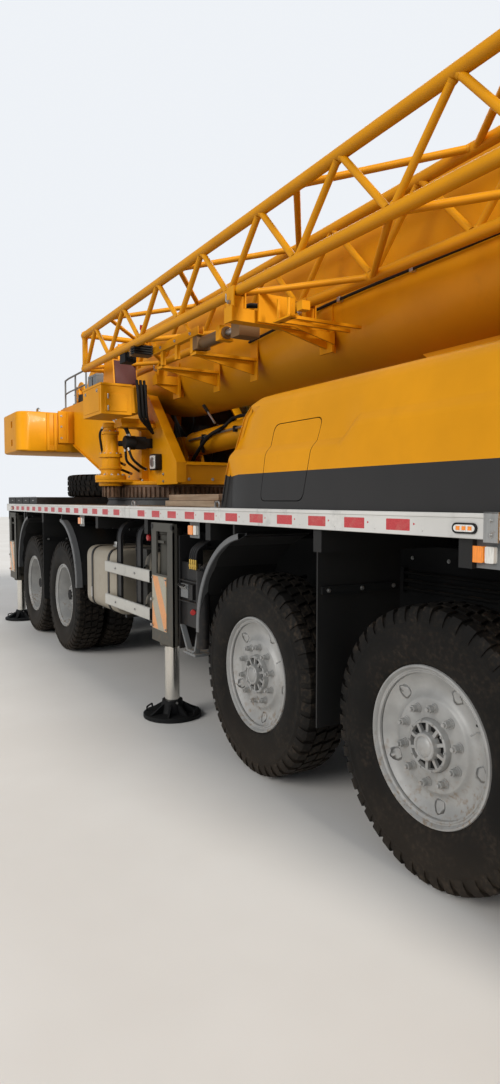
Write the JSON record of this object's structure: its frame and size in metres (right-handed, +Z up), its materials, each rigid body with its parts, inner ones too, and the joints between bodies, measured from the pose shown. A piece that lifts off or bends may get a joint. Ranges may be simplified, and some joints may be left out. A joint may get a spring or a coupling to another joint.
{
  "type": "four-axle mobile crane",
  "caption": "Truck-mounted telescopic boom crane with slewing upper works, folded lattice jib and sliding outriggers.",
  "frame": {"origin": "on the ground under the middle of the whole machine's bounding box, jacks and tyres at z = 0", "axes": "+X forward along the carrier, +Y to the left side, +Z up"},
  "size_m": [13.2593, 2.99, 3.654],
  "materials": {
    "crane_yellow": "semi-gloss paint",
    "frame_grey": "satin paint",
    "deck_grey": "dusty paint",
    "black_paint": "satin paint",
    "rim_grey": "dusty paint",
    "tyre_black": "matt",
    "chrome_rod": "polished",
    "clear_glass": "tinted",
    "cast_steel": "greased and dusty",
    "tank_beige": "dusty paint",
    "rail_white": "satin"
  },
  "bodies": {
    "carrier": {"chassis_frame": "frame_grey", "deck": "deck_grey", "driver_cab": "crane_yellow", "driver_glass": "clear_glass", "front_bumper": "black_paint", "engine_hood": "crane_yellow", "drive_train": "black_paint", "tanks": "tank_beige", "side_guards": "rail_white", "outrigger_boxes": "frame_grey", "slewing_ring": "cast_steel", "spare_wheel": "tyre_black"},
    "driver_door_right": {"driver_door_right": "crane_yellow"},
    "driver_door_left": {"driver_door_left": "crane_yellow"},
    "hood_hatch": {"hood_hatch": "crane_yellow"},
    "turret": {"turret": "crane_yellow", "counterweight": "crane_yellow", "winches": "crane_yellow", "slewing_drive": "crane_yellow", "valve_box": "crane_yellow", "operator_cab": "crane_yellow", "operator_glass": "clear_glass"},
    "operator_door": {"operator_door": "crane_yellow"},
    "luffing_barrel": {"luffing_barrel": "crane_yellow"},
    "luffing_rod": {"luffing_rod": "chrome_rod"},
    "boom": {"boom_base": "crane_yellow", "fly_jib": "crane_yellow"},
    "section_2": {"boom_section_2": "crane_yellow"},
    "section_3": {"boom_section_3": "crane_yellow"},
    "section_4": {"boom_section_4": "crane_yellow"},
    "section_5": {"boom_section_5": "crane_yellow"},
    "hook": {"hook_block": "crane_yellow"},
    "knuckle_1_right": {"knuckle_1_right": "frame_grey"},
    "wheel_1_right": {"tyre_1_right": "tyre_black", "rim_1_right": "rim_grey"},
    "knuckle_1_left": {"knuckle_1_left": "frame_grey"},
    "wheel_1_left": {"tyre_1_left": "tyre_black", "rim_1_left": "rim_grey"},
    "knuckle_2_right": {"knuckle_2_right": "frame_grey"},
    "wheel_2_right": {"tyre_2_right": "tyre_black", "rim_2_right": "rim_grey"},
    "knuckle_2_left": {"knuckle_2_left": "frame_grey"},
    "wheel_2_left": {"tyre_2_left": "tyre_black", "rim_2_left": "rim_grey"},
    "wheel_3_right": {"tyre_3_right": "tyre_black", "rim_3_right": "rim_grey"},
    "wheel_3_left": {"tyre_3_left": "tyre_black", "rim_3_left": "rim_grey"},
    "wheel_4_right": {"tyre_4_right": "tyre_black", "rim_4_right": "rim_grey"},
    "wheel_4_left": {"tyre_4_left": "tyre_black", "rim_4_left": "rim_grey"},
    "beam_front_right": {"beam_front_right": "frame_grey"},
    "jack_front_right": {"jack_front_right": "frame_grey"},
    "beam_front_left": {"beam_front_left": "frame_grey"},
    "jack_front_left": {"jack_front_left": "frame_grey"},
    "beam_rear_right": {"beam_rear_right": "frame_grey"},
    "jack_rear_right": {"jack_rear_right": "frame_grey"},
    "beam_rear_left": {"beam_rear_left": "frame_grey"},
    "jack_rear_left": {"jack_rear_left": "frame_grey"}
  },
  "joints": [
    {"name": "slew", "type": "hinge", "parent": "carrier", "child": "turret", "pos_m": [-3.145, 0, 1.85], "axis": [0, 0, 1], "continuous": true},
    {"name": "boom_luff", "type": "hinge", "parent": "turret", "child": "boom", "pos_m": [-4.65, 0, 3.2], "axis": [0, -1, 0], "range_deg": [0, 78]},
    {"name": "barrel_swing", "type": "hinge", "parent": "turret", "child": "luffing_barrel", "pos_m": [-2.85, 0, 2.3], "axis": [0, -1, 0], "range_deg": [0, 86.19]},
    {"name": "rod_slide", "type": "slide", "parent": "luffing_barrel", "child": "luffing_rod", "axis": [0.9991, 0, 0.0418], "range_m": [0, 2.417]},
    {"name": "telescope_2", "type": "slide", "parent": "boom", "child": "section_2", "axis": [1, 0, 0], "range_m": [0, 6.4]},
    {"name": "telescope_3", "type": "slide", "parent": "section_2", "child": "section_3", "axis": [1, 0, 0], "range_m": [0, 6.4]},
    {"name": "telescope_4", "type": "slide", "parent": "section_3", "child": "section_4", "axis": [1, 0, 0], "range_m": [0, 6.4]},
    {"name": "telescope_5", "type": "slide", "parent": "section_4", "child": "section_5", "axis": [1, 0, 0], "range_m": [0, 6.4]},
    {"name": "hook_hang", "type": "hinge", "parent": "section_5", "child": "hook", "pos_m": [6.3, 0, 2.65], "axis": [0, 1, 0], "range_deg": [0, 78]},
    {"name": "operator_door_hinge", "type": "hinge", "parent": "turret", "child": "operator_door", "pos_m": [-2.804, 1.402, 2.75], "axis": [0, 0, 1], "range_deg": [0, 90]},
    {"name": "hood_hatch_hinge", "type": "hinge", "parent": "carrier", "child": "hood_hatch", "pos_m": [1.485, -1.357, 1.825], "axis": [0.2723, 0, 0.9622], "range_deg": [0, 100]},
    {"name": "driver_door_right_hinge", "type": "hinge", "parent": "carrier", "child": "driver_door_right", "pos_m": [4.204, -1.272, 1.65], "axis": [0, 0, 1], "range_deg": [0, 70]},
    {"name": "driver_door_left_hinge", "type": "hinge", "parent": "carrier", "child": "driver_door_left", "pos_m": [4.204, 1.272, 1.65], "axis": [0, 0, -1], "range_deg": [0, 70]},
    {"name": "steer_1_right", "type": "hinge", "parent": "carrier", "child": "knuckle_1_right", "pos_m": [2.305, -1, 0.618], "axis": [0, 0, 1], "range_deg": [-35, 35]},
    {"name": "roll_1_right", "type": "hinge", "parent": "knuckle_1_right", "child": "wheel_1_right", "pos_m": [2.305, -1.172, 0.618], "axis": [0, 1, 0], "continuous": true},
    {"name": "steer_1_left", "type": "hinge", "parent": "carrier", "child": "knuckle_1_left", "pos_m": [2.305, 1, 0.618], "axis": [0, 0, 1], "range_deg": [-35, 35]},
    {"name": "roll_1_left", "type": "hinge", "parent": "knuckle_1_left", "child": "wheel_1_left", "pos_m": [2.305, 1.172, 0.618], "axis": [0, 1, 0], "continuous": true},
    {"name": "steer_2_right", "type": "hinge", "parent": "carrier", "child": "knuckle_2_right", "pos_m": [0.835, -1, 0.618], "axis": [0, 0, 1], "range_deg": [-24.5, 24.5]},
    {"name": "roll_2_right", "type": "hinge", "parent": "knuckle_2_right", "child": "wheel_2_right", "pos_m": [0.835, -1.172, 0.618], "axis": [0, 1, 0], "continuous": true},
    {"name": "steer_2_left", "type": "hinge", "parent": "carrier", "child": "knuckle_2_left", "pos_m": [0.835, 1, 0.618], "axis": [0, 0, 1], "range_deg": [-24.5, 24.5]},
    {"name": "roll_2_left", "type": "hinge", "parent": "knuckle_2_left", "child": "wheel_2_left", "pos_m": [0.835, 1.172, 0.618], "axis": [0, 1, 0], "continuous": true},
    {"name": "roll_3_right", "type": "hinge", "parent": "carrier", "child": "wheel_3_right", "pos_m": [-3.37, -1, 0.618], "axis": [0, 1, 0], "continuous": true},
    {"name": "roll_3_left", "type": "hinge", "parent": "carrier", "child": "wheel_3_left", "pos_m": [-3.37, 1, 0.618], "axis": [0, 1, 0], "continuous": true},
    {"name": "roll_4_right", "type": "hinge", "parent": "carrier", "child": "wheel_4_right", "pos_m": [-4.72, -1, 0.618], "axis": [0, 1, 0], "continuous": true},
    {"name": "roll_4_left", "type": "hinge", "parent": "carrier", "child": "wheel_4_left", "pos_m": [-4.72, 1, 0.618], "axis": [0, 1, 0], "continuous": true},
    {"name": "beam_out_front_right", "type": "slide", "parent": "carrier", "child": "beam_front_right", "axis": [0, -1, 0], "range_m": [0, 1.85]},
    {"name": "jack_up_front_right", "type": "slide", "parent": "beam_front_right", "child": "jack_front_right", "axis": [0, 0, 1], "range_m": [0, 0.4]},
    {"name": "beam_out_front_left", "type": "slide", "parent": "carrier", "child": "beam_front_left", "axis": [0, 1, 0], "range_m": [0, 1.85]},
    {"name": "jack_up_front_left", "type": "slide", "parent": "beam_front_left", "child": "jack_front_left", "axis": [0, 0, 1], "range_m": [0, 0.4]},
    {"name": "beam_out_rear_right", "type": "slide", "parent": "carrier", "child": "beam_rear_right", "axis": [0, -1, 0], "range_m": [0, 1.85]},
    {"name": "jack_up_rear_right", "type": "slide", "parent": "beam_rear_right", "child": "jack_rear_right", "axis": [0, 0, 1], "range_m": [0, 0.4]},
    {"name": "beam_out_rear_left", "type": "slide", "parent": "carrier", "child": "beam_rear_left", "axis": [0, 1, 0], "range_m": [0, 1.85]},
    {"name": "jack_up_rear_left", "type": "slide", "parent": "beam_rear_left", "child": "jack_rear_left", "axis": [0, 0, 1], "range_m": [0, 0.4]}
  ],
  "couplings": [
    {"joint": "barrel_swing", "follows": "boom_luff", "ratio": 1.1043},
    {"joint": "rod_slide", "follows": "boom_luff", "m_per_rad": 1.7743},
    {"joint": "telescope_4", "follows": "telescope_3", "ratio": 1},
    {"joint": "telescope_5", "follows": "telescope_3", "ratio": 1},
    {"joint": "hook_hang", "follows": "boom_luff", "ratio": 1},
    {"joint": "steer_1_left", "follows": "steer_1_right", "ratio": 1},
    {"joint": "steer_2_right", "follows": "steer_1_right", "ratio": 0.7},
    {"joint": "steer_2_left", "follows": "steer_1_right", "ratio": 0.7}
  ]
}
